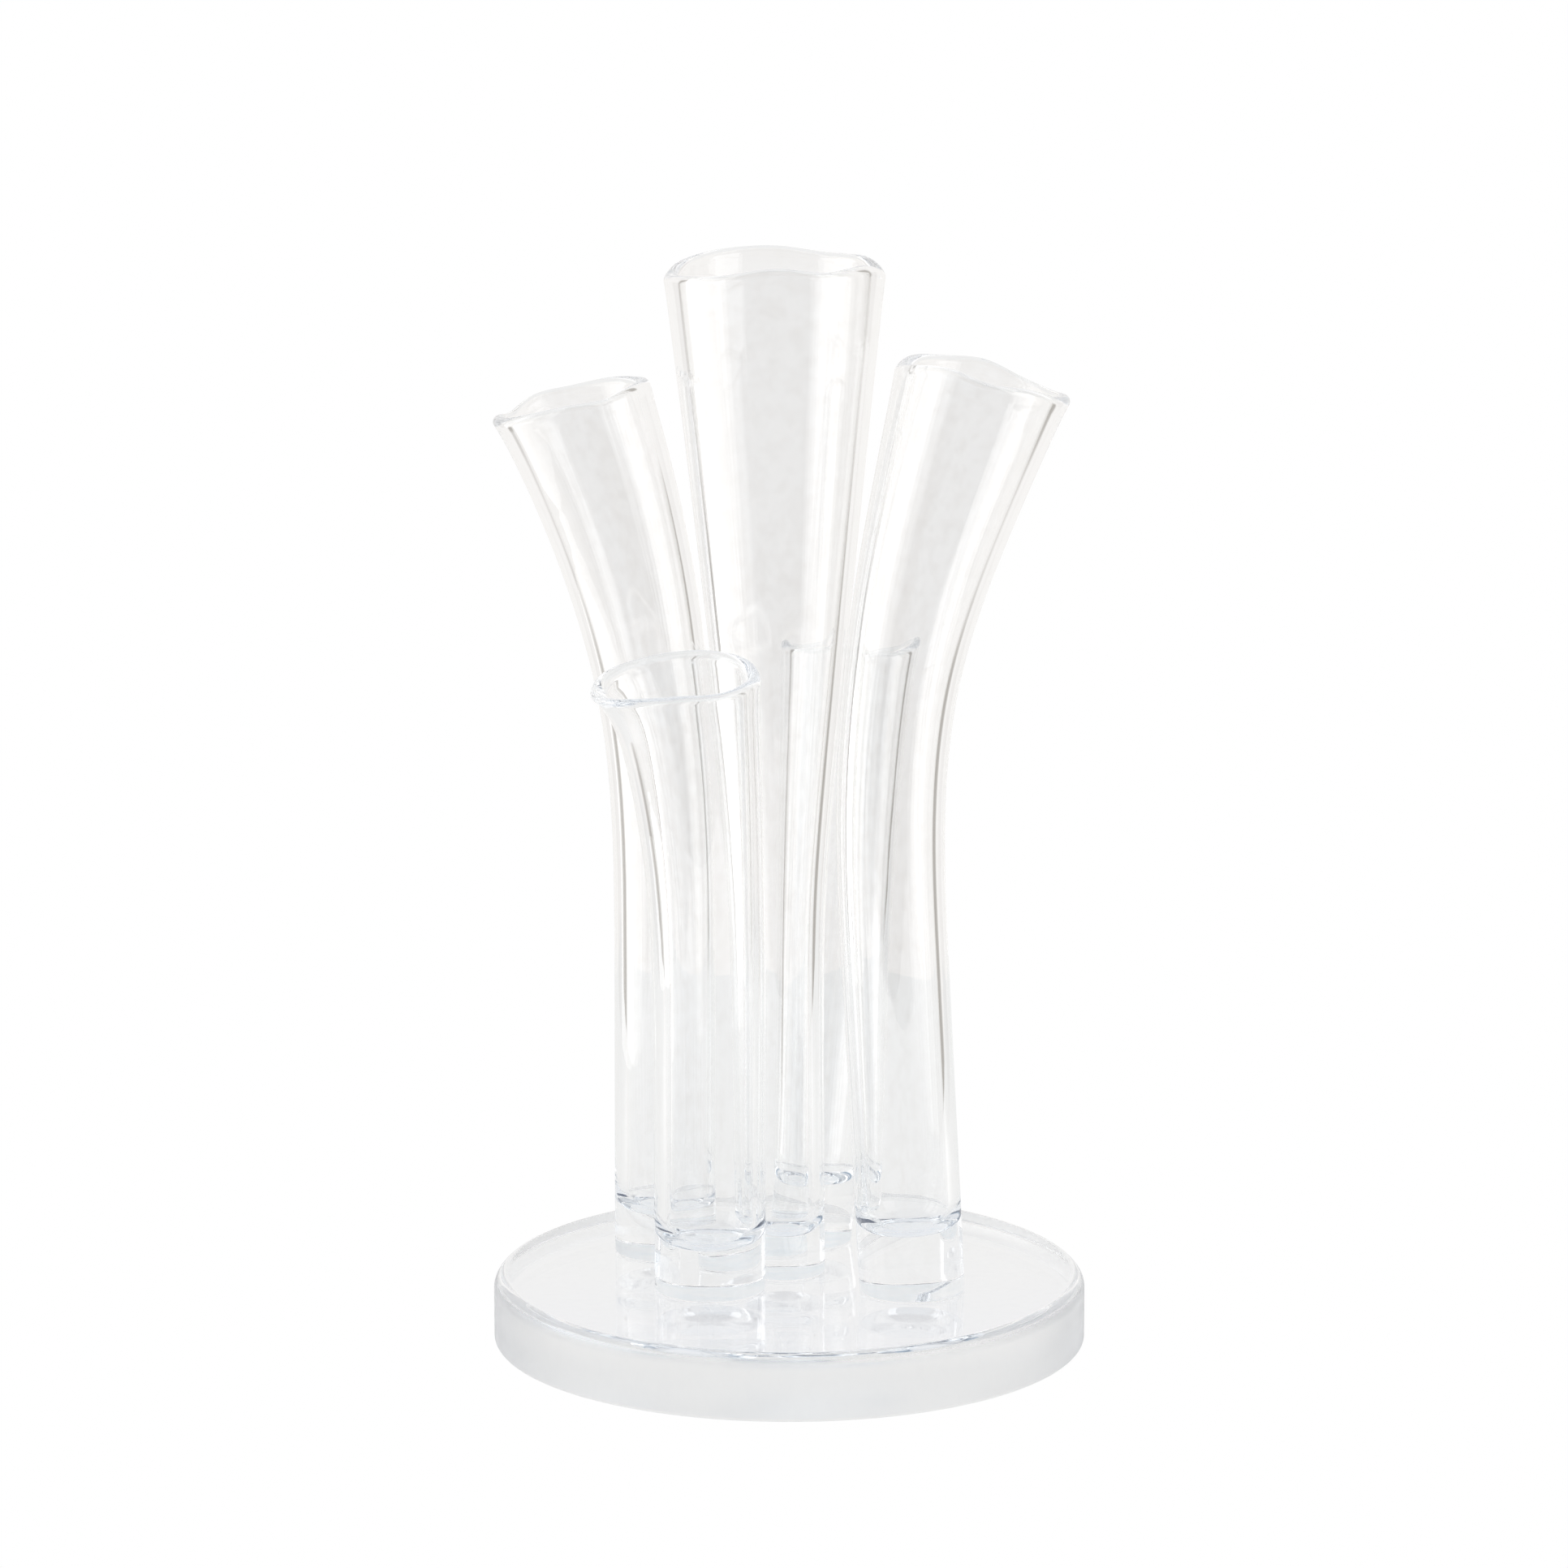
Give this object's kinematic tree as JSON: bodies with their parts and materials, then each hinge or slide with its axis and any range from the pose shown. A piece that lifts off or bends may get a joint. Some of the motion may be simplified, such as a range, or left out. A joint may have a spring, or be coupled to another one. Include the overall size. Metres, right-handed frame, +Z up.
{
  "type": "glass bud vase",
  "caption": "Cluster bud vase: clear glass tubes of differing height, some bent outward, bonded upright to one thick round glass disc.",
  "frame": {"origin": "centre of the disc's underside, on the surface that the vase stands on", "axes": "+Z up along the tall tube, +X to the right tube's side, -Y to the front"},
  "size_m": [0.16, 0.16, 0.2958],
  "materials": {
    "disc_glass": "thick clear cast glass, polished faces, soft rounded edge",
    "tube_glass": "clear colourless hand-drawn glass, fire-polished wavy rim, faint drawn striations",
    "bond_adhesive": "clear light-cured adhesive film"
  },
  "bodies": {
    "root": {"base_disc": "disc_glass", "tall_tube": "tube_glass", "left_tube": "tube_glass", "right_tube": "tube_glass", "front_tube": "tube_glass", "back_tube": "tube_glass", "tall_bond": "bond_adhesive", "left_bond": "bond_adhesive", "right_bond": "bond_adhesive", "front_bond": "bond_adhesive", "back_bond": "bond_adhesive"}
  },
  "joints": []
}
